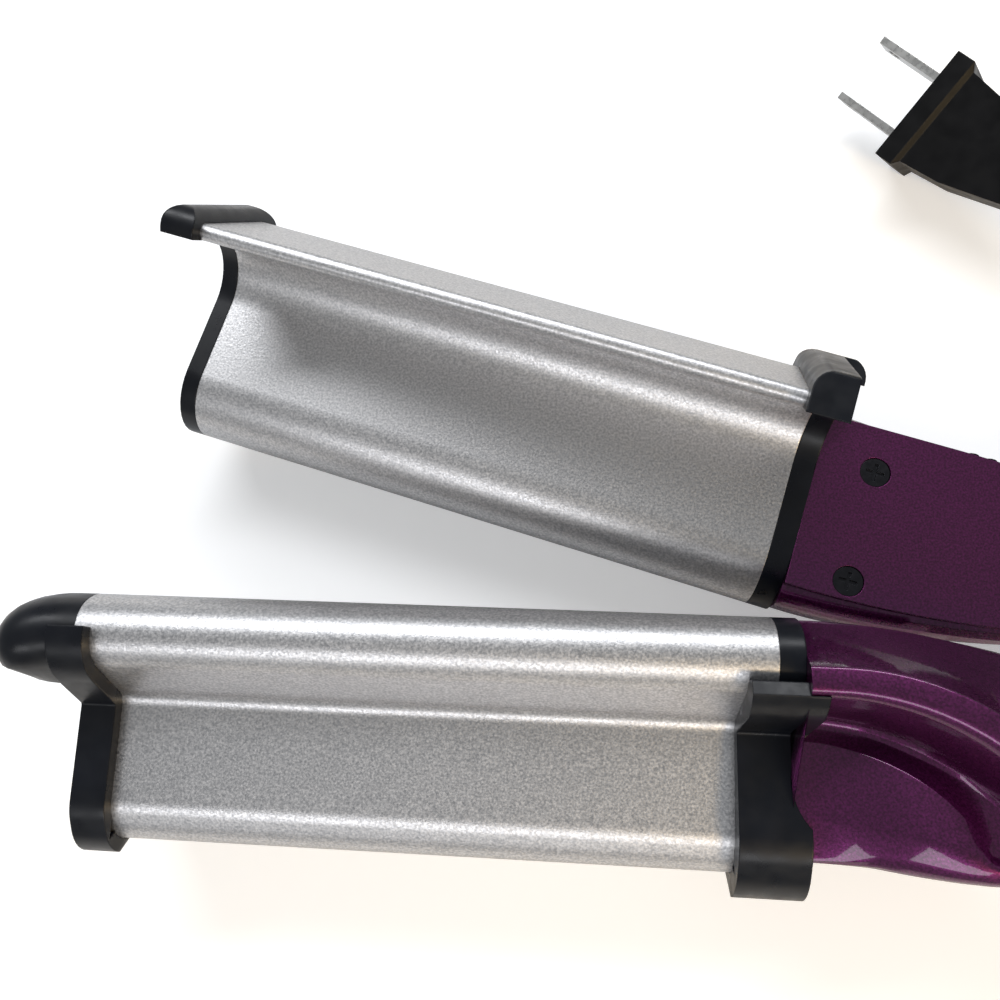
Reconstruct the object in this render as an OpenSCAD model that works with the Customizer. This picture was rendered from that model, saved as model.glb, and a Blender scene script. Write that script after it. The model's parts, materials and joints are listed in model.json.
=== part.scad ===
// Hair waver: two heated wave jaws on a spring hinge, lying on its side with the jaws open.
// Jaw frame: x runs from the jaw tips to the hinge, y across the jaws, z along the hinge pin.
// y = z = 0 is the line on which the closed jaws meet, and x = 0 is the tip end of the plates.
// Both jaws and both arms share one section. The upper one is turned half a turn about x.

/* [Jaws] */
// Length of the heated plates
plate_l = 112; // [100:1:120]
// Wall of the plates round the heater
plate_wall = 1.6; // [1.3:0.1:1.8]
// Gap left for the hair when the jaws are closed
hair_gap = 1; // [0.8:0.1:1.4]
// Height of the sharp peak that the wave is rounded from
peak_y = 22.5; // [22:0.1:23]
// Radius of the wave's peak
peak_r = 9.7; // [9:0.1:9.8]
// Height of the sharp nose of the lobe, before rounding
nose_y = 7.8; // [7.4:0.1:8.2]
// Reach of the sharp nose of the lobe, before rounding
nose_z = 26.4; // [26.2:0.1:27.2]
// Radius of the lobe's nose
nose_r = 6.2; // [5.6:0.1:6.3]
// Reach of the thin wing
wing_reach = 24.2; // [23:0.1:25]
// Thickness of the wing, measured along y
wing_t = 3.3; // [3.2:0.1:3.8]
// Thickness of the wing's root, measured along y
root_t = 4.8; // [4.2:0.1:5.2]
// Opening angle at rest
open_angle = 15.8; // [12:0.1:17]

/* [Caps and collars] */
// Thickness of the caps beyond the plate ends
cap_t = 3.3; // [3:0.1:4]
// Lap of the tip caps over the plates
cap_lap = 2.8; // [2.4:0.1:4]
// Lap of the collars over the plates
lap = 4.5; // [4:0.5:6]
// How far the tip caps stand proud of the outer side
cap_proud = 2.4; // [2.2:0.1:2.6]
// How far the collars stand proud of the outer side
proud = 3.8; // [3.4:0.1:4]
// Width of the flush band between plate and handle
band = 4; // [3.5:0.5:5]
// Overhang of the collars past the band
collar_over = 2.9; // [2.5:0.1:3.2]
// Length of the cool bullet tip
nose_l = 16; // [14:0.5:18]

/* [Arms] */
// Length of the arms, from the collars' band to the hinge pin
arm_l = 126; // [120:1:134]
// Radius of the hinge pin
pin_r = 2.5; // [2:0.25:3]
// Radius of the hinge knuckles
knuckle_r = 11; // [10:0.5:12]
// Half width of the grip across the hinge
grip_half = 16; // [15:0.5:18]
// Depth of one grip half
grip_d = 19; // [18:0.5:20.5]
// Thickness of the flat covers and grip liners
cover_t = 1.5; // [1.3:0.1:1.8]
// Radius of the arm's top edge, seen from the side
ridge_r = 200; // [180:10:240]
// Radius of the soft edge below the top edge
flank_r = 116; // [110:2:124]
// Radius of the crisp crease along the arm's bulge
crease_r = 36; // [34:1:38]
// Radius of the sculpted groove below the bulge
groove_r = 36; // [35:1:38]
// Radius of the crisp edge below the groove
edge_r = 27.5; // [27:0.5:29]
// Wall of the arm shells round their pockets
shell_wall = 2.5; // [2:0.25:3]

/* [Controls] */
// Radius of the power button
button_r = 5; // [4.5:0.25:5.5]
// Travel of the power button
button_travel = 1.2; // [1:0.1:1.4]
// Radius of the heat dial
dial_r = 8; // [7:0.5:8.5]
// Height of the heat dial above its seat
dial_h = 5; // [4:0.5:6]
// Radius of the indicator lens
lens_r = 1.8; // [1.5:0.1:2]

/* [Cord] */
// Radius of the mains cord
cord_r = 3; // [2.5:0.25:3]
// Length of the tapered strain relief
relief_l = 32; // [25:1:40]
// Width of the plug's flange
plug_w = 23; // [22:0.5:24]
// Length of the plug's blades
blade_l = 16; // [15.9:0.1:18]

/* [Hidden] */
$fn = 64;

aluminium = [0.72, 0.72, 0.71];
black = [0.09, 0.10, 0.12];
purple = [0.26, 0.05, 0.22];
steel = [0.62, 0.63, 0.65];
green = [0.10, 0.35, 0.18];
white = [0.88, 0.87, 0.84];
amber = [0.95, 0.45, 0.10];

arc_steps = 12;                       // chords in each rounded corner of a section
fit = 0.05;                           // clearance between pieces that seat on each other
running = 0.04;                       // radial clearance of a turning pin
far = 60;                             // reach of the cutting shapes

flank_z = hair_gap / 2;
slope = (peak_y - nose_y) / (nose_z - flank_z);
gap_y = hair_gap * sqrt(1 + slope * slope);
valley = [-1.3, 4.3];                 // where the lobe's underside meets the back
shoulder = [-20, 3.5];                // where the back turns towards the wing
back_z = -1;                          // where the back meets the wing's outer face
bead_r = wing_t / 2.4;                // round edge of the wing
rest_half = wing_reach + cap_proud;   // from the closed line to the table
function under_y(z) = valley[0] + (z - valley[1]) * (nose_y - valley[0]) / (nose_z - valley[1]);
function under_z(y) = valley[1] + (y - valley[0]) * (nose_z - valley[1]) / (nose_y - valley[0]);
function wing_face(z) = -peak_y - gap_y - slope * (flank_z + z);

jaw_corners = [
    [peak_y, flank_z, peak_r],
    [nose_y, nose_z, nose_r],
    [valley[0], valley[1], 3],
    [shoulder[0], shoulder[1], 6],
    [wing_face(back_z) - root_t, back_z, 6],
    [wing_face(-wing_reach) - wing_t, -wing_reach, bead_r],
    [wing_face(-wing_reach), -wing_reach, bead_r],
    [wing_face(flank_z), flank_z, peak_r - hair_gap]
];
lobe_corners = [
    [peak_y, flank_z, peak_r],
    [nose_y, nose_z, nose_r],
    [under_y(valley[1] + 1), valley[1] + 1, 2],
    [under_y(valley[1] + 1), flank_z, 2]
];

// ---- functions for sections ----
function flat(c) = [c[0], c[1]];
function unit(v) = v / norm(v);
function ease(a, b, x) = let (t = min(1, max(0, (x - a) / (b - a)))) t * t * (3 - 2 * t);
function mix(a, b, t) = a + (b - a) * t;
function turn_of(d) = d > 180 ? d - 360 : d < -180 ? d + 360 : d;

// A corner [y, z, radius] between its two neighbours, as the points of its arc.
// The arc takes no more than the given share of the shorter side next to it.
function corner_arc(before, here, after, steps, share) =
    let (to_before = flat(before) - flat(here), to_after = flat(after) - flat(here),
         u = unit(to_before), v = unit(to_after), half = acos(u * v) / 2,
         r = min(here[2], share * min(norm(to_before), norm(to_after)) * tan(half)),
         centre = flat(here) + unit(u + v) * r / sin(half),
         p = flat(here) + u * r / tan(half) - centre,
         q = flat(here) + v * r / tan(half) - centre,
         a = atan2(p[1], p[0]), sweep = turn_of(atan2(q[1], q[0]) - a))
    [for (i = [0:steps]) centre + r * [cos(a + sweep * i / steps), sin(a + sweep * i / steps)]];

function rounded(corners, steps = arc_steps, share = 1) =
    let (n = len(corners))
    [for (i = [0:n - 1])
        each corner_arc(corners[(i + n - 1) % n], corners[i], corners[(i + 1) % n], steps, share)];

// The same corners moved outwards by d, or inwards where d is negative
function grown(corners, d) =
    let (n = len(corners))
    [for (i = [0:n - 1])
        let (here = flat(corners[i]),
             u = unit(here - flat(corners[(i + n - 1) % n])),
             v = unit(flat(corners[(i + 1) % n]) - here),
             nu = [u[1], -u[0]], nv = [v[1], -v[0]],
             convex = u[0] * v[1] - u[1] * v[0] > 0,
             moved = here + d * (nu + nv) / (1 + nu * nv))
        [moved[0], moved[1], corners[i][2] + (convex ? d : -d)]];

// A closed skin through sections that all have as many points
module skin(rings) {
    n = len(rings[0]);
    m = len(rings);
    polyhedron(
        points = [for (ring = rings) each ring],
        faces = concat(
            [[for (i = [n - 1:-1:0]) i]],
            [for (k = [0:m - 2], i = [0:n - 1])
                each [[k * n + i, k * n + (i + 1) % n, (k + 1) * n + i],
                      [(k + 1) * n + i, k * n + (i + 1) % n, (k + 1) * n + (i + 1) % n]]],
            [[for (i = [0:n - 1]) (m - 1) * n + i]]),
        convexity = 6);
}

// A round tube of sides flats along a path
function tangent(path, i) =
    unit(path[min(i + 1, len(path) - 1)] - path[max(i - 1, 0)]);
function tube_ring(path, i, r, sides) =
    let (t = tangent(path, i), side = unit(cross(t, [0, 0, 1])), up = cross(side, t))
    [for (k = [0:sides - 1])
        let (a = 360 * (k + 0.5) / sides) path[i] + r * (cos(a) * side + sin(a) * up)];
module tube(path, r, sides) {
    skin([for (i = [0:len(path) - 1]) tube_ring(path, i, r, sides)]);
}

// ---- placing ----
module along_x(from, to) {
    translate([from, 0, 0]) rotate([90, 0, 90]) linear_extrude(to - from) children();
}

arm_from = plate_l + band;
pin_x = arm_from + arm_l;
housing_l = 24;                       // from the hinge pin to the housing's rear wall
housing_to = pin_x + housing_l;
relief_end = housing_to + relief_l;
tip_x = -nose_l;
function outer_y(d) = min([for (p = rounded(grown(jaw_corners, d))) p[0]]);
top_y = (pin_x + cap_t) * sin(open_angle) - outer_y(cap_proud) * cos(open_angle);
bottom_y = outer_y(proud);
origin = [(tip_x + relief_end) / 2, (top_y + bottom_y) / 2, -rest_half];

module on_table() {
    translate(-origin) children();
}
module lower() {
    on_table() children();
}
module upper() {
    on_table() translate([pin_x, 0, 0]) rotate([0, 0, -open_angle]) translate([-pin_x, 0, 0])
        rotate([180, 0, 0]) children();
}

// ---- jaws ----
module section(d) {
    polygon(rounded(grown(jaw_corners, d)));
}
module lobe_section(d) {
    polygon(rounded(grown(lobe_corners, d)));
}
// Everything on the outer side of the jaw, up to the height top on the lobe.
// The end there runs in the direction way, a unit vector.
module outer_side(top, way) {
    edge = flank_z + 2;
    foot_at = [top, under_z(top)];
    polygon([foot_at + far * way, foot_at, [top, edge], [wing_face(edge), edge],
             [wing_face(-far), -far], [-far, -far], [-far, foot_at[1] + far * way[1]]]);
}
// A block as long as a skirt, with the two corners of its outer face rounded.
// It lies along the wing, whose outer face it meets at the distance d.
wing_in = [wing_face(back_z) - root_t, back_z];
wing_out = [wing_face(-wing_reach) - wing_t, -wing_reach];
module wing_block(from, to, d, r) {
    way = unit(wing_out - wing_in);
    out = -wing_in[0] * way[1] + wing_in[1] * way[0];
    rotate([atan2(way[0], -way[1]), 0, 0]) translate([0, 0, -2 * far]) linear_extrude(4 * far)
        polygon(rounded([[from, -abs(out) - d, r], [to, -abs(out) - d, r],
                         [to, far, 0.5], [from, far, 0.5]], 6, 0.48));
}
module skirt(from, to, top, way, d, r) {
    intersection() {
        along_x(from, to) intersection() {
            section(d);
            outer_side(top, way);
            translate([-far, -rest_half]) square([2 * far, 2 * far]);
        }
        wing_block(from, to, d, r);
    }
}
module plate() {
    along_x(0, plate_l) difference() {
        section(0);
        lobe_section(-plate_wall);
    }
}

heater_l = plate_l - 24;
heater_z = flank_z + plate_wall + 0.15;
module heater() {
    translate([12, 1.1, heater_z]) cube([heater_l, 6, 3]);
    for (x = [14, plate_l - 24]) translate([x, 3, heater_z + 3]) cube([10, 5, 0.6]);
}
clip_t = 0.5;
module heater_clip() {
    translate([plate_l / 2 - 13, 0, heater_z + 3.1]) rotate([90, 0, 0]) mirror([0, 0, 1])
        translate([0, 0, 3]) linear_extrude(5) polygon(concat(
            [for (i = [0:12]) [i * 2.2, 2.6 * sin(i * 15)]],
            [for (i = [12:-1:0]) [i * 2.2, 2.6 * sin(i * 15) + clip_t]]));
}

module end_plate(from, to) {
    along_x(from, to) section(0);
}
module spigot(from, to) {
    along_x(from, to) difference() {
        lobe_section(-plate_wall - 0.15);
        lobe_section(-plate_wall - 1.65);
    }
}
bullet_y = valley[0] + 1.5;           // the bullet starts here and takes the lobe above
cap_top = nose_y + 1.4;               // the lower tip cap's skirt ends on the lobe's nose
hook_top = nose_y - 2;                // the upper tip cap's skirt ends below it
collar_top = nose_y - 2.8;            // the collars' skirts end on the lobe's underside
hook_r = 2.9;                         // rounded corners of the tip caps' hooks
level = [0, 1];
square_on = unit([valley[1] - nose_z, nose_y - valley[0]]);   // square to the lobe's underside

module lower_cap_shape() {
    difference() {
        union() {
            end_plate(-cap_t, 0);
            skirt(-cap_t, cap_lap, cap_top, level, cap_proud, hook_r);
        }
        along_x(0, cap_lap + 1) section(fit);
        along_x(-cap_t - 1, 1) intersection() {
            lobe_section(fit);
            translate([bullet_y, -far]) square([far, 2 * far]);
        }
    }
}
module upper_cap_shape() {
    nub = [-cap_t, -9, 4.5];
    difference() {
        union() {
            end_plate(-cap_t, 0);
            skirt(-cap_t, cap_lap, hook_top, level, cap_proud, hook_r);
        }
        along_x(0, cap_lap + 1) section(fit);
    }
    spigot(0, 3);
    translate(nub) sphere(1.9);
}

// The bullet: the lobe's section as far as the cap reaches, rounded off from there to an oval tip
tip_at = [7, 11.2];                   // y and z of the tip
tip_half = [9, 10.5];                 // half height and half width of the oval
tip_rings = 10;
module bullet() {
    lobe = rounded(lobe_corners);
    // the arcs of the lobe's peak and nose, closed by a straight edge along the cap
    arcs = [for (i = [0:2 * arc_steps + 1]) lobe[i]];
    foot = concat([[bullet_y + fit, flank_z + 5 * fit]], arcs, [[bullet_y + fit, under_z(bullet_y + fit)]]);
    function oval(way) = way / norm([way[0] / tip_half[0], way[1] / tip_half[1]]);
    skin(concat(
        [for (k = [tip_rings:-1:0])
            let (a = k * 87 / tip_rings)
            [for (p = foot)
                let (q = tip_at + cos(a) * mix(p - tip_at, oval(p - tip_at), ease(0, 60, a)))
                [-cap_t - (nose_l - cap_t) * sin(a), q[0], q[1]]]],
        [[for (p = foot) [0, p[0], p[1]]]]));
}

collar_from = plate_l - lap;
bay = [-10, 3, 10.3];                 // the bay in the collar's rear edge: its y, depth and radius
module collar_shape() {
    wire_way = [7, 6];
    difference() {
        union() {
            end_plate(plate_l, arm_from);
            skirt(collar_from, arm_from + collar_over, collar_top, square_on, proud, 3);
        }
        along_x(collar_from - 1, plate_l) section(fit);
        along_x(arm_from, arm_from + collar_over + 1) {
            section(fit);
            polygon(rounded(grown(block_section(arm_from), 3 * fit), 4, 0.48));
        }
        translate([arm_from + collar_over - bay[1] + bay[2], bay[0], 0]) cylinder(r = bay[2], h = far);
        // the hook on the wing ends short of the skirt on the back
        translate([arm_from - 1.7, -far, -far]) cube([far, 2 * far, far - 8]);
        translate([plate_l - 1, wire_way[0], wire_way[1]]) rotate([0, 90, 0])
            cylinder(r = 2.5, h = band + 2);
    }
}

// ---- arms ----
shell_to = pin_x - knuckle_r - 2;     // rear end of the shells
grip_from = arm_from + 74;            // where the arm has its full grip section
split_x = arm_from + 57;              // where the half block turns into a full width half
cover_face = flank_z + cover_t;
arm_top = 15.5;
arm_bottom = -20.9;
joint_y = -1;                         // the grip halves meet here when closed

// How far an edge has come down at x, on a circle of radius r whose top is at from
function fall(r, from, x) = let (s = min(max(0, x - from), 0.95 * r)) r - sqrt(r * r - s * s);
function top_y_at(x) = mix(arm_top - fall(ridge_r, arm_from, min(x, arm_from + 60)), joint_y,
                           ease(arm_from + 40, split_x, x));
function bottom_y_at(x) = mix(arm_bottom, -grip_d, ease(arm_from + 22, grip_from, x));
root_l = 3;                           // the arm keeps one section inside the collar

// Corners from the flat cover's top edge over the bulge and the groove to its bottom edge
function block_section(at) =
    let (x = max(at, arm_from + root_l), face = cover_face,
         top = top_y_at(x), low = bottom_y_at(x),
         flank = min(15.3 - fall(flank_r, arm_from, min(x, arm_from + 60)), top - 0.2),
         crease = max(7.3 - fall(crease_r, arm_from + 5, x), -6),
         edge = max(-3.9 - fall(edge_r, arm_from + 2, x), low + 1.5),
         groove = max(-0.3 - fall(groove_r, arm_from + 2.6, x), edge + 2.2),
         near = mix(20.5, rest_half - 1, ease(arm_from, arm_from + 34, x)),
         deep = mix(4.6, 18, ease(arm_from + root_l, arm_from + 44, x)),
         lobe = mix(6, 15, ease(arm_from + root_l, arm_from + 24, x)))
    [[top, face, 3.5],
     [flank, 10.5, 3],
     [min(crease, flank - 2), near, 0.7],
     [mix(groove, crease, 0.45), near + 0.8, 3.5],
     [groove, deep, 2],
     [edge, lobe, 0.6],
     [mix(low, edge, 0.3), lobe + mix(0.5, 1.2, ease(arm_from + root_l, arm_from + 24, x)), 4],
     [low - 2.6, lobe - 0.5, 3.5],
     [low, face, 0.4]];

function grip_section() =
    let (w = grip_half)
    [[joint_y, 1 - w, 0.6],
     [joint_y, w - 1, 0.6],
     [joint_y - 4, w, 3],
     [joint_y - 8, w - 0.6, 3],
     [joint_y - 12, w - 2.4, 3],
     [-grip_d, w - 6, 5],
     [-grip_d, 6 - w, 5],
     [joint_y - 11, 2 - w, 5],
     [joint_y - 4, -w, 3]];

station_x = concat([arm_from], [for (i = [0:26]) arm_from + root_l + i * 1.8],
                   [for (i = [1:10]) arm_from + root_l + 46.8 + i * 2.6],
                   [shell_to]);
module arm_loft() {
    grip = rounded(grip_section(), 4, 0.48);
    skin([for (x = station_x)
        let (t = ease(split_x - 4, grip_from, x), block = rounded(block_section(x), 4, 0.48))
        [for (i = [0:len(block) - 1])
            let (p = mix(block[i], grip[i], t)) [x, p[0], p[1]]]]);
}

pocket_top = joint_y - cover_t;
pocket_from = grip_from + 2;
pocket_to = shell_to - 3;
pocket_half = grip_half - shell_wall - 1.5;
module arm_shell() {
    difference() {
        arm_loft();
        // rebate of the grip liner, and the pocket under it
        translate([pocket_from - 2, pocket_top, -pocket_half - 1])
            cube([pocket_to - pocket_from + 4, cover_t + 1, 2 * pocket_half + 2]);
        translate([pocket_from, -grip_d + shell_wall, 6 - pocket_half])
            cube([pocket_to - pocket_from, grip_d - shell_wall, 2 * pocket_half - 12]);
        translate([pocket_from, joint_y - 8, -pocket_half])
            cube([pocket_to - pocket_from, 8, 2 * pocket_half]);
        // hollow of the block, open towards its flat cover
        translate([arm_from + 4, fuse_way, cover_face - 1]) cube([28, 5, 9]);
        translate([arm_from + 4, -17, cover_face - 1]) cube([28, 17, 1.8]);
        translate([arm_from + 20, -12, cover_face - 1]) cube([grip_from - arm_from - 16, 8, 5]);
        for (p = screw_at) translate([p[0], p[1], 0]) cylinder(r = screw_r + 0.2, h = 5, $fn = 8);
    }
}
fuse_way = 3.2;                       // lower side of the hollow that holds the thermal fuse
screw_at = [[arm_from + 10.3, -12.3], [arm_from + 10.3, 8.3]];
screw_r = 1.4;
head_r = 2.7;
cover_to = arm_from + 52;
module cover_outline(inset) {
    xs = [for (i = [0:11]) mix(arm_from + inset, cover_to, i / 11)];
    polygon(concat([for (x = xs) [x, bottom_y_at(x) + 0.3]],
                   [for (i = [11:-1:0]) [xs[i], top_y_at(xs[i]) - 3.6]]));
}
module arm_cover() {
    difference() {
        translate([0, 0, flank_z]) linear_extrude(cover_t) cover_outline(0);
        for (p = screw_at) {
            translate([p[0], p[1], -1]) cylinder(r = screw_r + 0.1, h = 4);
            translate([p[0], p[1], flank_z - 1]) cylinder(r = head_r, h = 1.9);
        }
    }
}
module cover_screws() {
    for (p = screw_at) translate([p[0], p[1], 0]) difference() {
        union() {
            translate([0, 0, flank_z + 0.2]) cylinder(r = head_r - 0.1, h = 0.7);
            translate([0, 0, flank_z + 0.2]) cylinder(r = screw_r, h = cover_t + 0.9);
        }
        for (a = [0, 90]) rotate([0, 0, a]) translate([-1.6, -0.3, flank_z]) cube([3.2, 0.6, 0.6]);
    }
}
module grip_liner() {
    translate([pocket_from - 1.8, pocket_top + 0.05, -pocket_half - 0.8])
        cube([pocket_to - pocket_from + 3.6, cover_t - 0.1, 2 * pocket_half + 1.6]);
}

// ---- hinge ----
ear_in = 9.2;                         // inner faces of the ears
neck_r = 5;
flange_r = 7;
module hinge_housing_shape() {
    clear = knuckle_r + 0.8;
    difference() {
        union() {
            translate([pin_x, 0, -grip_half + 1]) cylinder(r = knuckle_r, h = 2 * grip_half - 2);
            translate([0, 0, -grip_half + 1]) linear_extrude(2 * grip_half - 2)
                polygon([[shell_to, joint_y - 1.5], [shell_to, -grip_d + 0.5], [pin_x + 4, -grip_d + 1.5],
                         [pin_x + 16, -15], [housing_to, -9], [housing_to, 9], [pin_x + 15, 11],
                         [pin_x, 6], [pin_x - 6, -1]]);
        }
        translate([pin_x, 0, -ear_in]) cylinder(r = clear, h = 2 * ear_in);
        translate([pin_x - 20, joint_y - 6, -ear_in]) cube([20, 40, 2 * ear_in]);
        translate([pin_x, 0, -ear_in]) cube([clear, 40, 2 * ear_in]);
        translate([pin_x, 0, -far]) cylinder(r = pin_r + running, h = 2 * far);
        // seat of the cord swivel: its flange turns inside, its neck passes the rear wall
        translate([pin_x + 11, 0, 0]) rotate([0, 90, 0]) cylinder(r = flange_r + 0.1, h = 6);
        translate([pin_x + 11, 0, 0]) rotate([0, 90, 0]) cylinder(r = neck_r + running, h = 20);
        // round off the rear block
        for (z = [-1, 1]) translate([housing_to, 0, z * (grip_half + 3)]) rotate([90, 0, 0])
            cylinder(r = 9, h = 2 * far, center = true);
    }
}
tongue_y = -11;                       // outer face of the knuckle's tongue
tongue_l = 6;                         // reach of the tongue into the pocket
spring_turns = 5;
spring_r = 4.4;
spring_wire = 0.7;
module torsion_spring() {
    path = concat(
        [[pin_x - spring_r, joint_y - 5.2, -3.55], [pin_x - spring_r, -3, -3.52]],
        [for (i = [0:spring_turns * 12])
            [pin_x - spring_r * cos(i * 30), spring_r * sin(i * 30), -3.5 + 7 * i / (spring_turns * 12)]],
        [[pin_x - spring_r - 0.2, 2, 3.52], [pin_x - spring_r - 0.6, 3.4, 3.54]]);
    skin([for (i = [0:len(path) - 1])
        let (t = tangent(path, i), side = unit(cross(t, [0, 0, 1])), up = cross(side, t))
        [for (k = [0:5]) path[i] + spring_wire * (cos(60 * k) * side + sin(60 * k) * up)]]);
}
module knuckle() {
    half = ear_in - 0.2;
    difference() {
        union() {
            translate([pin_x, 0, -half]) cylinder(r = knuckle_r, h = 2 * half);
            translate([pocket_to + 0.1 - tongue_l, tongue_y, -half])
                cube([pin_x - pocket_to + tongue_l - 4, pocket_top - tongue_y - 0.3, 2 * half]);
        }
        translate([pin_x, 0, -far]) cylinder(r = pin_r + running, h = 2 * far);
        // room for the spring round the pin, open towards the spring's legs
        translate([pin_x, 0, -4.6]) cylinder(r = 6.4, h = 9.2);
        translate([pin_x - 6.4, 0, -4.6]) cube([12.8, 30, 9.2]);
    }
}

// ---- upper arm's inner pieces and controls ----
button_x = pocket_from + 24;
dial_x = pocket_from + 9;
lens_x = pocket_from + 32;
seat_d = 1.2;                         // depth of the dial's seat
board_y = joint_y - 7.95;            // outer face of the board, on the ledge of the pocket
button_in = -grip_d + shell_wall + 1.05;   // inner face of the button's flange
panel_lap = 1.4;                      // thickness of the control panel over its ledge
panel_half = 8.4;
panel_from = pocket_from - 2;
panel_to = pocket_to + 1;
module upper_shell_shape() {
    difference() {
        arm_shell();
        // seat of the control panel, with its window into the pocket
        translate([panel_from, -far, -panel_half])
            cube([panel_to - panel_from, far - grip_d + panel_lap, 2 * panel_half]);
        translate([pocket_from, -far, 6 - pocket_half]) cube([pocket_to - pocket_from, far - 14, 2 * pocket_half - 12]);
        // seat of the thumb pad on the outer side
        translate([pad_from, 0, pad_z]) linear_extrude(pad_w)
            polygon(concat([[0, -far]], [for (i = [0:8]) [i * pad_l / 8, pad_y(i)]], [[pad_l, -far]]));
        // way of the hinge knuckle's tongue
        translate([pocket_to - tongue_l - 0.2, tongue_y - 0.1, -ear_in])
            cube([tongue_l + 8, pocket_top - tongue_y + 0.1, 2 * ear_in]);
    }
}
module panel() {
    difference() {
        union() {
            translate([panel_from + fit, -grip_d, fit - panel_half])
                cube([panel_to - panel_from - 2 * fit, panel_lap - fit, 2 * (panel_half - fit)]);
            translate([pocket_from + fit, -grip_d, fit + 6 - pocket_half])
                cube([pocket_to - pocket_from - 2 * fit, shell_wall, 2 * (pocket_half - 6 - fit)]);
        }
        translate([dial_x, -grip_d + seat_d, 0]) rotate([90, 0, 0]) cylinder(r = dial_r + 0.2, h = 10);
        translate([dial_x, 0, 0]) rotate([90, 0, 0]) cylinder(r = 3 + running, h = 40);
        translate([button_x, 0, 0]) rotate([90, 0, 0]) cylinder(r = button_r + 0.1, h = 40);
        translate([lens_x, 0, 0]) rotate([90, 0, 0]) cylinder(r = lens_r + fit, h = 40);
    }
}
pad_from = arm_from + 24;
pad_l = 26;
pad_z = cover_face + 0.8;
pad_w = 7.6;
function pad_y(i) = bottom_y_at(pad_from + i * pad_l / 8) + 0.9;
module pad() {
    translate([pad_from + fit, 0, pad_z + fit]) {
        linear_extrude(pad_w - 2 * fit) polygon(concat(
            [for (i = [0:8]) [i * (pad_l - 2 * fit) / 8, pad_y(i) - fit]],
            [for (i = [8:-1:0]) [i * (pad_l - 2 * fit) / 8, pad_y(i) - 1.3]]));
        for (i = [1:7], k = [0:1]) translate([i * pad_l / 8, pad_y(i) - 0.6, 1.9 + k * 3.8])
            rotate([90, 0, 0]) cylinder(r = 1, h = 1.6);
    }
}
module board() {
    translate([pocket_from + fit, board_y, fit - pocket_half]) cube([24, 1.6, 2 * (pocket_half - fit)]);
}
module dial_body() {
    translate([dial_x - 4, board_y - 5 - fit, -3.5]) cube([8, 5, 7]);
}
module spring_of_button() {
    translate([button_x, board_y - fit, 0]) rotate([90, 0, 0]) difference() {
        cylinder(r = 2.6, h = board_y - button_in - 2 * fit);
        translate([0, 0, -1]) cylinder(r = 1.9, h = 20);
    }
}
module button() {
    translate([button_x, -grip_d + shell_wall + 0.05, 0]) rotate([90, 0, 0]) {
        cylinder(r = button_r, h = shell_wall + button_travel + 0.6);
        translate([0, 0, -1]) cylinder(r = button_r + 0.9, h = 1);
    }
}
module dial() {
    translate([dial_x, -grip_d + seat_d - 0.1, 0]) rotate([90, 0, 0]) difference() {
        union() {
            cylinder(r = dial_r, h = dial_h);
            translate([0, 0, -3.7]) cylinder(r = 3, h = 4);
        }
        for (i = [0:15]) rotate([0, 0, i * 22.5]) translate([dial_r + 0.5, 0, 1.2]) cylinder(r = 1, h = dial_h);
        translate([0, 2, dial_h - 0.5]) translate([-0.5, 0, 0]) cube([1, dial_r - 3.5, 1]);
    }
}
module lens() {
    translate([lens_x, -grip_d + shell_wall, 0]) rotate([90, 0, 0]) cylinder(r = lens_r, h = shell_wall + 0.5);
}
fuse_r = 2;
module fuse() {
    translate([arm_from + 8, fuse_way + fuse_r + fit, cover_face + fuse_r + fit]) rotate([0, 90, 0])
        cylinder(r = fuse_r, h = 12);
}

// ---- cord ----
relief_ribs = 6;
rib_pitch = (relief_l - 6.8) / relief_ribs;
module relief() {
    translate([housing_to, 0, 0]) rotate([0, 90, 0]) rotate_extrude() polygon(concat(
        [[0, -9.8], [flange_r, -9.8], [flange_r, -7.1], [neck_r, -7.1], [neck_r, 0.3],
         [7.6, 0.3], [8, 0.8], [8, 3.4], [7.4, 4]],
        [for (i = [0:relief_ribs - 1]) let (z = 5 + i * rib_pitch, r = mix(6.4, 4.6, i / (relief_ribs - 1)))
            each [[r, z], [r, z + 0.62 * rib_pitch], [r - 1, z + 0.67 * rib_pitch], [r - 1.1, z + 0.95 * rib_pitch]]],
        [[cord_r + 0.9, relief_l], [0, relief_l]]));
}

coil_mid = [97, 97];
coil_out = 46;
coil_pitch = 7.2;
tie_t = 0.8;
coil_z = cord_r + tie_t + 0.05;

exit = [relief_end - origin[0], -origin[1], rest_half];
// Route of the free cord from the swivel to the coil, in the finished frame
lead_route = concat(
    [exit, exit + [6, 0, 0], exit + [12, 0, 0]],
    [[174, -33, 27], [186, -28, 23], [196, -18, 18], [201, -5, 12], [199, 10, 7], [190, 22, 4.5],
     [178, 29, 3.6], [164, 33, 3.2], [150, 35, 3], [134, 36, 3], [118, 37, 3], [102, 39, 3],
     [87, 43, 3], [74, 50, 3], [63, 60, 3.1], [56, 70, 3.4], [52, 79, 3.8],
     [coil_mid[0] - coil_out, coil_mid[1] - 12, coil_z], [coil_mid[0] - coil_out, coil_mid[1] - 6, coil_z]]);
coil_step = 15;
turns_in = 3;
turns_out = 3.25;
coil_in = coil_out - turns_in * coil_pitch;
function coil_radius(a) =
    a < turns_in * 360 ? coil_out - coil_pitch * a / 360 :
    a < turns_in * 360 + 180 ? coil_in : coil_in + coil_pitch * (a - turns_in * 360 - 180) / 360;
function coil_height(a) = coil_z + coil_pitch * min(1, max(0, (a - turns_in * 360) / 180));
coil_total = (turns_in + turns_out) * 360 + 180;
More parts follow.
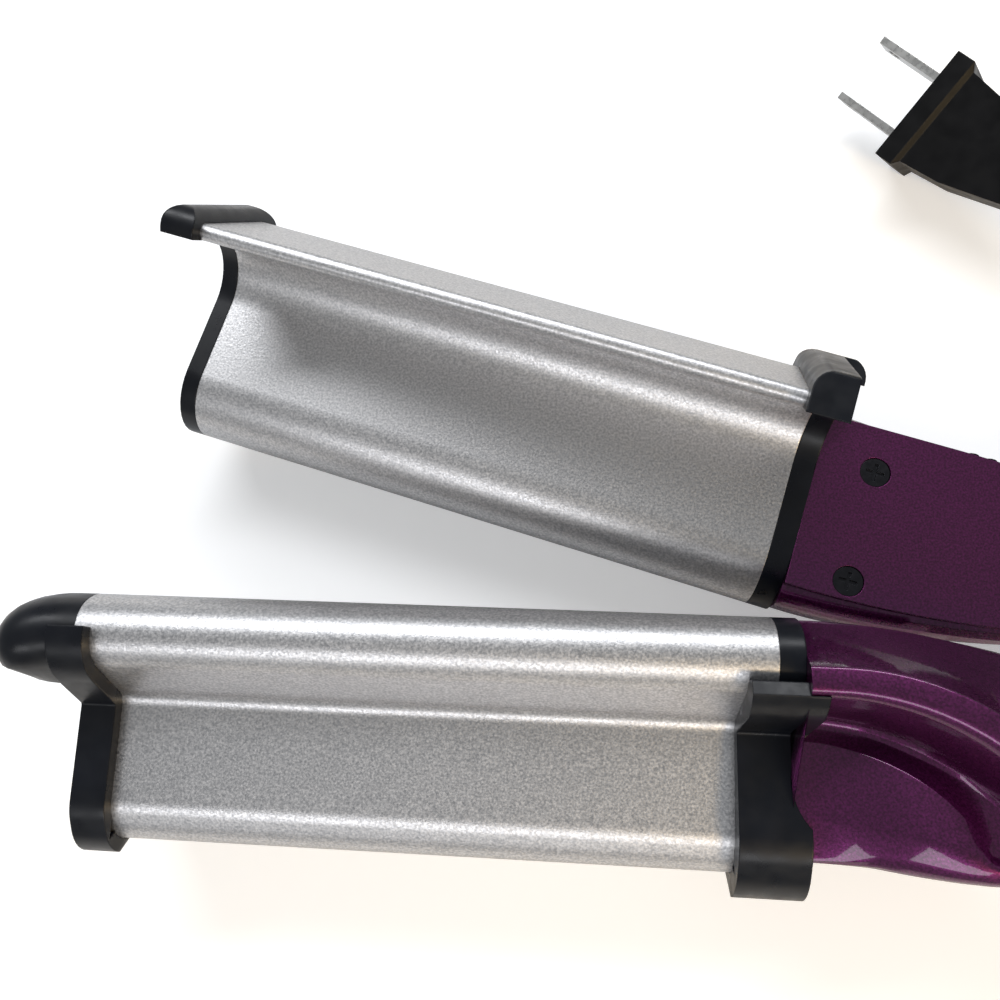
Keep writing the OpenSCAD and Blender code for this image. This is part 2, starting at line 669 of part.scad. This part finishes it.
coil_turns = [for (a = [0:coil_step:coil_total])
    [coil_mid[0] - coil_radius(a) * cos(a), coil_mid[1] + coil_radius(a) * sin(a), coil_height(a)]];
coil_last = coil_turns[len(coil_turns) - 1];
coil_path = concat([coil_turns[0] - [0, 6, 0]], coil_turns, [coil_last - [6, 0, 0]]);

plug_at = [11.1, 94.5, 13.25];        // middle of the flange's front face
plug_turn = [-36, 6, 133.5];          // its roll, the blades' dip and the way they point
plug_half_t = 8;
plug_body_l = 27;
plug_relief_l = 14;
plug_dir = [cos(plug_turn[1]) * cos(plug_turn[2]), cos(plug_turn[1]) * sin(plug_turn[2]), -sin(plug_turn[1])];
plug_rear = plug_at - (plug_body_l + plug_relief_l) * plug_dir;
// From the coil's top layer over the lead to the plug
end_route = [coil_last - [6, 0, 0], coil_last - [12, 0, 0], [76, 49, 11.1], [67, 49.3, 12.2],
             [58.5, 51.2, 14.4], [50.5, 55, 17], plug_rear - 6 * plug_dir, plug_rear];

gap_points = [for (a = [0:coil_step:coil_total - 345]) norm(
    [coil_radius(a + 360) - coil_radius(a), coil_height(a + 360) - coil_height(a)]) - 2 * cord_r];
echo(origin = origin, exit = exit, plug_rear = plug_rear, coil_last = coil_last);
echo(least_coil_gap = min(gap_points));
function path_length(p, i = 0) = i >= len(p) - 1 ? 0 : norm(p[i + 1] - p[i]) + path_length(p, i + 1);
echo(cord_length = path_length(lead_route) + path_length(coil_path) + path_length(end_route));

module tie() {
    // a band round the coil's two layers, on the side away from the handle
    deep = coil_pitch + 2 * cord_r + 0.2;
    room = 0.3;
    inner = sqrt(pow(coil_in - cord_r, 2) - 36) - room;
    wide = coil_out + cord_r + room - inner;
    translate([coil_mid[0] - 6, coil_mid[1] + inner - tie_t, 0]) difference() {
        cube([12, wide + 2 * tie_t, deep + 2 * tie_t]);
        translate([-1, tie_t, tie_t]) cube([14, wide, deep]);
    }
}
module in_plug() {
    translate(plug_at) rotate([0, 0, plug_turn[2]]) rotate([0, plug_turn[1], 0]) rotate([plug_turn[0], 0, 0]) children();
}
module plug_shape() {
    w = plug_w / 2;
    in_plug() {
        difference() {
            intersection() {
                translate([0, 0, -plug_half_t]) linear_extrude(2 * plug_half_t) polygon(
                    [[0, -w], [0, w], [-4, w], [-5, w - 1.5], [-14, w - 2.5], [-plug_body_l, 5.5],
                     [-plug_body_l, -5.5], [-14, 2.5 - w], [-5, 1.5 - w], [-4, -w]]);
                rotate([90, 0, 0]) linear_extrude(2 * w, center = true) polygon(
                    [[0, -plug_half_t], [0, plug_half_t], [-4, plug_half_t], [-5, plug_half_t - 1],
                     [-plug_body_l, 5.5], [-plug_body_l, -5.5], [-5, 1 - plug_half_t], [-4, -plug_half_t]]);
            }
            for (s = [-1, 1]) translate([-8, s * 6.35 - 0.8, -3.2]) cube([9, 1.6, 6.4]);
        }
        rotate([0, -90, 0]) rotate_extrude() polygon(concat(
            [[0, plug_body_l - 0.01], [5, plug_body_l - 0.01]],
            [for (i = [0:2]) let (z = plug_body_l + 1 + i * 4, r = 4.9 - 0.3 * i)
                each [[r, z], [r, z + 2.4], [r - 0.9, z + 2.6], [r - 0.9, z + 3.8]]],
            [[cord_r + 0.6, plug_body_l + plug_relief_l], [0, plug_body_l + plug_relief_l]]));
    }
}
module blades() {
    in_plug() for (s = [-1, 1]) translate([-7.9, s * 6.35 - 0.75, -3.15])
        difference() {
            cube([7.9 + blade_l, 1.5, 6.3]);
            translate([7.9 + blade_l - 3.2, -1, 3.15]) rotate([-90, 0, 0]) cylinder(r = 1.55, h = 4);
        }
}

// ---- nodes ----
module lower_plate() { color(aluminium) lower() plate(); }
module lower_heater() { color(white) lower() heater(); }
module lower_heater_clip() { color(steel) lower() heater_clip(); }
module lower_tip_cap() { color(black) lower() lower_cap_shape(); }
module cool_tip() { color(black) lower() bullet(); }
module lower_collar() { color(black) lower() collar_shape(); }
module lower_shell() { color(purple) lower() lower_shell_shape(); }
module lower_shell_shape() { arm_shell(); }
module lower_cover() { color(purple) lower() arm_cover(); }
module lower_cover_screws() { color(black) lower() cover_screws(); }
module lower_grip_liner() { color(black) lower() grip_liner(); }
module hinge_housing() { color(black) lower() hinge_housing_shape(); }
module hinge_pin() {
    color(steel) lower() translate([pin_x, 0, 1 - grip_half]) cylinder(r = pin_r, h = 2 * grip_half - 2);
}
module hinge_caps() {
    color(purple) lower() for (s = [0, 1]) mirror([0, 0, s]) translate([pin_x, 0, grip_half - 1 + fit])
        cylinder(r = knuckle_r - 2, h = 1.2);
}
module hinge_spring() { color(steel) lower() torsion_spring(); }
module upper_plate() { color(aluminium) upper() plate(); }
module upper_heater() { color(white) upper() heater(); }
module upper_heater_clip() { color(steel) upper() heater_clip(); }
module upper_tip_cap() { color(black) upper() upper_cap_shape(); }
module upper_collar() { color(black) upper() collar_shape(); }
module upper_shell() { color(purple) upper() upper_shell_shape(); }
module upper_cover() { color(purple) upper() arm_cover(); }
module upper_cover_screws() { color(black) upper() cover_screws(); }
module upper_grip_liner() { color(black) upper() grip_liner(); }
module hinge_knuckle() { color(black) upper() knuckle(); }
module thumb_pad() { color(black) upper() pad(); }
module control_panel() { color(black) upper() panel(); }
module circuit_board() { color(green) upper() board(); }
module dial_control() { color(steel) upper() dial_body(); }
module button_spring() { color(steel) upper() spring_of_button(); }
module indicator_lens() { color(amber) upper() lens(); }
module thermal_fuse() { color(steel) upper() fuse(); }
module power_button() { color(black) upper() button(); }
module heat_dial() { color(black) upper() dial(); }
module strain_relief() { color(black) lower() relief(); }
module cord_lead() { color(black) tube(lead_route, cord_r, 8); }
module cord_coil() { color(black) tube(coil_path, cord_r, 6); }
module cord_tie() { color(black) tie(); }
module cord_end() { color(black) tube(end_route, cord_r, 8); }
module plug_body() { color(black) plug_shape(); }
module plug_blades() { color(steel) blades(); }

lower_plate();
lower_heater();
lower_heater_clip();
lower_tip_cap();
cool_tip();
lower_collar();
lower_shell();
lower_cover();
lower_cover_screws();
lower_grip_liner();
hinge_housing();
hinge_pin();
hinge_caps();
hinge_spring();
upper_plate();
upper_heater();
upper_heater_clip();
upper_tip_cap();
upper_collar();
upper_shell();
upper_cover();
upper_cover_screws();
upper_grip_liner();
hinge_knuckle();
thumb_pad();
control_panel();
circuit_board();
dial_control();
button_spring();
indicator_lens();
thermal_fuse();
power_button();
heat_dial();
strain_relief();
cord_lead();
cord_coil();
cord_tie();
cord_end();
plug_body();
plug_blades();
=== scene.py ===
"""Hair waver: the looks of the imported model, in the photograph's view."""

import json
import math

import bpy
from mathutils import Euler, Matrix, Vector


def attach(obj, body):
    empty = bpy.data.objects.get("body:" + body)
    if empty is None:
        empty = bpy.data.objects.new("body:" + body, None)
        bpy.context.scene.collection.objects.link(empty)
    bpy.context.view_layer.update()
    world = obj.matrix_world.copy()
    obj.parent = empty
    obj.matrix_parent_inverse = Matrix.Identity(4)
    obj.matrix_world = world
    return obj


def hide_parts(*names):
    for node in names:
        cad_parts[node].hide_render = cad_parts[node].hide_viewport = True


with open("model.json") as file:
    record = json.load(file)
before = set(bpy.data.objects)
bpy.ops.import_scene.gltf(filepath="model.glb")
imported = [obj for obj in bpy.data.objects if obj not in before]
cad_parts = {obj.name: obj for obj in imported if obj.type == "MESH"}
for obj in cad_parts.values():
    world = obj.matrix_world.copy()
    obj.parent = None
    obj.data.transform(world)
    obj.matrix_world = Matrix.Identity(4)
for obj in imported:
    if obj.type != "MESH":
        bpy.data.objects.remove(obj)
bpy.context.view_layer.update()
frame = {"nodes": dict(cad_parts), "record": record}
nodes = frame["nodes"]

MM = 0.001


def placed(name, data):
    """A new object with this data, in the scene."""
    thing = bpy.data.objects.new(name, data)
    bpy.context.scene.collection.objects.link(thing)
    return thing


# ---- camera ----
# Fitted to the photograph: its width and focal length in pixels, the place in mm, the turn in degrees.
PHOTO_PIXELS = 1000
FOCAL_PIXELS = 892.86
SENSOR_MM = 36.0
CAMERA_AT = Vector((-61.29, -32.845, 185.25)) * MM
CAMERA_TURN = Euler([math.radians(a) for a in (13.285, 4.088, 2.465)])
CLIP_START = 0.01


def make_camera():
    data = bpy.data.cameras.new("camera")
    data.sensor_width = SENSOR_MM
    data.lens = FOCAL_PIXELS * SENSOR_MM / PHOTO_PIXELS
    data.clip_start = CLIP_START
    camera = placed("camera", data)
    camera.location = CAMERA_AT
    camera.rotation_euler = CAMERA_TURN
    bpy.context.scene.camera = camera


# ---- cord ----
# The route in mm, as the model's own cord runs: lead, coil, end.
CORD_R = 3.0
EXIT = Vector((157, -32.165, 26.6))
LEAD = [(174, -33, 27), (186, -28, 23), (196, -18, 18), (201, -5, 12), (199, 10, 7), (190, 22, 4.5),
        (178, 29, 3.6), (164, 33, 3.2), (150, 35, 3), (134, 36, 3), (118, 37, 3), (102, 39, 3),
        (87, 43, 3), (74, 50, 3), (63, 60, 3.1), (56, 70, 3.4), (52, 79, 3.8), (51, 85, 3.85)]
COIL_MID = (97, 97)
COIL_OUT = 46
COIL_PITCH = 7.2
COIL_Z = CORD_R + 0.85        # the tie passes under the coil
TURNS_IN = 3
TURNS_UP = 0.5
TURNS_OUT = 3.25
END = [(76, 49, 11.1), (67, 49.3, 12.2), (58.5, 51.2, 14.4), (50.5, 55, 17)]
PLUG_AT = Vector((11.1, 94.5, 13.25))        # the middle of the plug's front face
PLUG_DIP = math.radians(6)
PLUG_TURN = math.radians(133.5)
PLUG_L = 41
STRAIGHT = 6        # the straight steps at the exit, on both sides of the coil and at the plug
COIL_STEPS = 162
CURVE_STEPS = 4
RIM_STEPS = 5


def coil_point(turn):
    """A point of the coil after so many turns: in on the lower layer, up, and out on the upper one."""
    inner = COIL_OUT - TURNS_IN * COIL_PITCH
    if turn < TURNS_IN:
        radius = COIL_OUT - COIL_PITCH * turn
    else:
        radius = inner + COIL_PITCH * max(0, turn - TURNS_IN - TURNS_UP)
    rise = COIL_PITCH * min(1, max(0, (turn - TURNS_IN) / TURNS_UP))
    angle = 2 * math.pi * turn
    return Vector((
        COIL_MID[0] - radius * math.cos(angle),
        COIL_MID[1] + radius * math.sin(angle),
        COIL_Z + rise,
    ))


def through(points, steps):
    """A smooth curve through the points, in so many steps from each to the next."""
    out = []
    for i in range(len(points) - 1):
        a, b, c, d = (points[max(i - 1, 0)], points[i], points[i + 1], points[min(i + 2, len(points) - 1)])
        for k in range(steps):
            t = k / steps
            out.append(0.5 * (2 * b + (c - a) * t + (2 * a - 5 * b + 4 * c - d) * t * t
                              + (3 * b - a - 3 * c + d) * t ** 3))
    return out + [points[-1]]


def cord_line():
    """The cord's middle line in metres, from the exit to the plug's rear."""
    step = Vector((STRAIGHT, 0, 0))
    lead = [EXIT, EXIT + step, EXIT + 2 * step] + [Vector(p) for p in LEAD]
    total = TURNS_IN + TURNS_UP + TURNS_OUT
    turns = [coil_point(total * i / COIL_STEPS) for i in range(COIL_STEPS + 1)]
    coil = [turns[0] - Vector((0, STRAIGHT, 0))] + turns + [turns[-1] - step, turns[-1] - 2 * step]
    level = math.cos(PLUG_DIP)
    away = Vector((level * math.cos(PLUG_TURN), level * math.sin(PLUG_TURN), -math.sin(PLUG_DIP)))
    rear = PLUG_AT - PLUG_L * away
    end = [Vector(p) for p in END] + [rear - STRAIGHT * away, rear]
    return [p * MM for p in through(lead + coil + end, CURVE_STEPS)]


def make_cord():
    """One round cord in place of the model's three pieces of it."""
    line = cord_line()
    data = bpy.data.curves.new("mains_cord", "CURVE")
    data.dimensions = "3D"
    data.bevel_depth = 1.0        # times each point's radius, from which the object's bounds are taken
    data.bevel_resolution = RIM_STEPS
    spline = data.splines.new("POLY")
    spline.points.add(len(line) - 1)
    for point, place in zip(spline.points, line):
        point.co = (*place, 1)
        point.radius = CORD_R * MM
    spline.use_smooth = True
    cord = placed("mains_cord", data)
    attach(cord, "lower_arm")
    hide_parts("cord_lead", "cord_coil", "cord_end")
    return cord


# ---- materials ----
BUMP_DETAIL = 2.0
VARIED_DETAIL = 3.0
RAMP_ENDS = (0.35, 0.65)
BEVEL_SAMPLES = 6


def new_material(name):
    material = bpy.data.materials.new(name)
    material.use_nodes = True
    return material


def shader_of(material):
    return material.node_tree.nodes["Principled BSDF"]


def add_noise(material, scale, detail):
    """Noise in the object's own space."""
    tree = material.node_tree
    place = tree.nodes.new("ShaderNodeTexCoord")
    noise = tree.nodes.new("ShaderNodeTexNoise")
    noise.inputs["Scale"].default_value = scale
    noise.inputs["Detail"].default_value = detail
    tree.links.new(place.outputs["Object"], noise.inputs["Vector"])
    return noise.outputs["Fac"]


def add_bump(material, scale, strength, distance):
    """Fine surface texture, as deep as the distance in metres."""
    tree = material.node_tree
    bump = tree.nodes.new("ShaderNodeBump")
    bump.inputs["Strength"].default_value = strength
    bump.inputs["Distance"].default_value = distance
    tree.links.new(add_noise(material, scale, BUMP_DETAIL), bump.inputs["Height"])
    tree.links.new(bump.outputs["Normal"], shader_of(material).inputs["Normal"])


def varied(material, socket, low, high, scale):
    """The socket's value or colour wanders between low and high over the surface."""
    tree = material.node_tree
    ramp = tree.nodes.new("ShaderNodeValToRGB")
    for end, position, value in zip(ramp.color_ramp.elements, RAMP_ENDS, (low, high)):
        end.position = position
        end.color = value if isinstance(value, tuple) else (value, value, value, 1)
    tree.links.new(add_noise(material, scale, VARIED_DETAIL), ramp.inputs["Fac"])
    tree.links.new(ramp.outputs["Color"], shader_of(material).inputs[socket])


def edge_softened(material, radius):
    """Rounds the edges in the shading by a radius in mm, under the surface's own texture."""
    tree = material.node_tree
    bevel = tree.nodes.new("ShaderNodeBevel")
    bevel.samples = BEVEL_SAMPLES
    bevel.inputs["Radius"].default_value = radius * MM
    bumps = [node for node in tree.nodes if node.type == "BUMP"]
    above = bumps[0] if bumps else shader_of(material)
    tree.links.new(bevel.outputs["Normal"], above.inputs["Normal"])


def plate_metal():
    """Satin anodised aluminium with a fine sparkle."""
    material = new_material("plate_metal")
    shader_of(material).inputs["Metallic"].default_value = 1.0
    varied(material, "Base Color", low=(0.42, 0.42, 0.43, 1), high=(0.66, 0.65, 0.65, 1), scale=2300)
    varied(material, "Roughness", low=0.34, high=0.5, scale=2900)
    add_bump(material, scale=3000, strength=0.45, distance=0.00005)
    edge_softened(material, radius=0.25)
    return material


def plastic(name, colour, roughness, grain=2200, depth=0.00002, gloss=0.35):
    """Moulded plastic: a slightly uneven colour and gloss over a fine grain."""
    material = new_material(name)
    shader_of(material).inputs["Specular IOR Level"].default_value = gloss
    dark = tuple(0.8 * c for c in colour)
    pale = tuple(1.2 * c for c in colour)
    varied(material, "Base Color", low=(*dark, 1), high=(*pale, 1), scale=120)
    varied(material, "Roughness", low=roughness - 0.06, high=roughness + 0.06, scale=300)
    add_bump(material, scale=grain, strength=0.2, distance=depth)
    edge_softened(material, radius=0.35)
    return material


def plum_paint():
    """Glossy plum plastic with metallic flakes under a clear coat."""
    material = new_material("plum_paint")
    shader = shader_of(material)
    shader.inputs["Metallic"].default_value = 0.8
    shader.inputs["Coat Weight"].default_value = 0.7
    shader.inputs["Coat Roughness"].default_value = 0.05
    varied(material, "Base Color", low=(0.05, 0.002, 0.035, 1), high=(0.105, 0.008, 0.08, 1), scale=2600)
    varied(material, "Roughness", low=0.26, high=0.42, scale=2800)
    add_bump(material, scale=2600, strength=0.25, distance=0.00002)
    edge_softened(material, radius=0.3)
    return material


def metal(name, colour, roughness):
    """Plain metal with a slightly uneven gloss."""
    material = new_material(name)
    shader = shader_of(material)
    shader.inputs["Base Color"].default_value = (*colour, 1)
    shader.inputs["Metallic"].default_value = 1.0
    varied(material, "Roughness", low=roughness - 0.04, high=roughness + 0.08, scale=900)
    edge_softened(material, radius=0.15)
    return material


def make_materials():
    """The material of each slot in the record."""
    return {
        "plate_metal": plate_metal(),
        "black_plastic": plastic("black_plastic", (0.004, 0.005, 0.008), 0.33, gloss=0.25),
        "purple_plastic": plum_paint(),
        "ceramic": plastic("ceramic", (0.8, 0.79, 0.75), 0.6),
        "steel": metal("steel", (0.55, 0.54, 0.52), 0.28),
        "dark_steel": metal("dark_steel", (0.03, 0.03, 0.034), 0.3),
        "soft_black": plastic("soft_black", (0.0025, 0.0025, 0.003), 0.36,
                              grain=1200, depth=0.00004, gloss=0.2),
        "board": plastic("board", (0.03, 0.16, 0.06), 0.4),
        "lens": plastic("lens", (0.8, 0.2, 0.03), 0.15),
    }


# ---- the frame's own pieces ----
SHARP = math.radians(24)
WELD_MM = 0.002


def smooth_group():
    """Joins the split corners and shades smooth across every edge that is flatter than SHARP."""
    group = bpy.data.node_groups.new("smooth_by_angle", "GeometryNodeTree")
    group.interface.new_socket("Geometry", in_out="INPUT", socket_type="NodeSocketGeometry")
    group.interface.new_socket("Geometry", in_out="OUTPUT", socket_type="NodeSocketGeometry")
    start = group.nodes.new("NodeGroupInput")
    end = group.nodes.new("NodeGroupOutput")
    weld = group.nodes.new("GeometryNodeMergeByDistance")
    weld.inputs["Distance"].default_value = WELD_MM * MM
    normals = group.nodes.new("GeometryNodeSetMeshNormal")
    normals.mode = "SHARPNESS"
    normals.inputs["Remove Custom"].default_value = True
    angle = group.nodes.new("GeometryNodeInputMeshEdgeAngle")
    sharp = group.nodes.new("FunctionNodeCompare")
    sharp.operation = "GREATER_THAN"
    sharp.inputs[1].default_value = SHARP
    group.links.new(start.outputs[0], weld.inputs["Geometry"])
    group.links.new(weld.outputs["Geometry"], normals.inputs["Mesh"])
    group.links.new(angle.outputs["Unsigned Angle"], sharp.inputs[0])
    group.links.new(sharp.outputs["Result"], normals.inputs["Edge Sharpness"])
    group.links.new(normals.outputs["Mesh"], end.inputs[0])
    return group


def dress(materials):
    """Gives each piece the material of its slot and the smooth shading."""
    group = smooth_group()
    for part in frame["record"]["subparts"]:
        node = nodes[part["node"]]
        node.data.materials.clear()
        node.data.materials.append(materials[part["material_slot"]])
        smoothing = node.modifiers.new("smooth", "NODES")
        smoothing.node_group = group


# ---- stage and light ----
FLOOR_HALF = 3.0
FLOOR_COLOUR = (0.86, 0.86, 0.86, 1)
FLOOR_ROUGHNESS = 0.9
FLOOR_GLOW = 0.35
WORLD_COLOUR = (0.94, 0.97, 1, 1)
WORLD_STRENGTH = 0.34


def make_stage():
    """A pale floor that glows a little for the camera alone."""
    corners = [(x * FLOOR_HALF, y * FLOOR_HALF, 0) for x, y in ((-1, -1), (1, -1), (1, 1), (-1, 1))]
    data = bpy.data.meshes.new("floor")
    data.from_pydata(corners, [], [(0, 1, 2, 3)])
    floor = placed("floor", data)
    material = new_material("floor")
    shader = shader_of(material)
    shader.inputs["Base Color"].default_value = FLOOR_COLOUR
    shader.inputs["Roughness"].default_value = FLOOR_ROUGHNESS
    tree = material.node_tree
    glow = tree.nodes.new("ShaderNodeEmission")
    glow.inputs["Strength"].default_value = FLOOR_GLOW
    path = tree.nodes.new("ShaderNodeLightPath")
    black = tree.nodes.new("ShaderNodeEmission")
    black.inputs["Strength"].default_value = 0.0
    pick = tree.nodes.new("ShaderNodeMixShader")
    add = tree.nodes.new("ShaderNodeAddShader")
    tree.links.new(path.outputs["Is Camera Ray"], pick.inputs["Fac"])
    tree.links.new(black.outputs["Emission"], pick.inputs[1])
    tree.links.new(glow.outputs["Emission"], pick.inputs[2])
    tree.links.new(shader.outputs["BSDF"], add.inputs[0])
    tree.links.new(pick.outputs["Shader"], add.inputs[1])
    tree.links.new(add.outputs["Shader"], tree.nodes["Material Output"].inputs["Surface"])
    data.materials.append(material)


def lamp(name, place, target, size, watts, colour):
    """A rectangular lamp, aimed at the target; place, target and size are in metres."""
    data = bpy.data.lights.new(name, "AREA")
    data.shape = "RECTANGLE"
    data.size, data.size_y = size
    data.energy = watts
    data.color = colour
    light = placed(name, data)
    light.location = place
    light.rotation_euler = (Vector(target) - Vector(place)).to_track_quat("-Z", "Y").to_euler()


def make_light():
    world = bpy.data.worlds.new("world")
    bpy.context.scene.world = world
    world.use_nodes = True
    background = world.node_tree.nodes["Background"]
    background.inputs["Color"].default_value = WORLD_COLOUR
    background.inputs["Strength"].default_value = WORLD_STRENGTH
    lamp("key", place=(-0.15, 0.5, 0.6), target=(0, 0, 0.02), size=(0.9, 0.16), watts=5,
         colour=(0.95, 0.97, 1))
    lamp("front", place=(-0.15, -0.55, 0.5), target=(-0.02, 0, 0.02), size=(0.7, 0.16), watts=1.7,
         colour=(0.96, 0.97, 1))
    lamp("warm", place=(0.3, -0.4, 0.4), target=(0.1, 0, 0.02), size=(0.2, 0.14), watts=1.8,
         colour=(1, 0.72, 0.36))
    bpy.context.scene.view_settings.view_transform = "Standard"


make_camera()
cord = make_cord()
materials = make_materials()
dress(materials)
cord.data.materials.append(materials["soft_black"])
make_stage()
make_light()
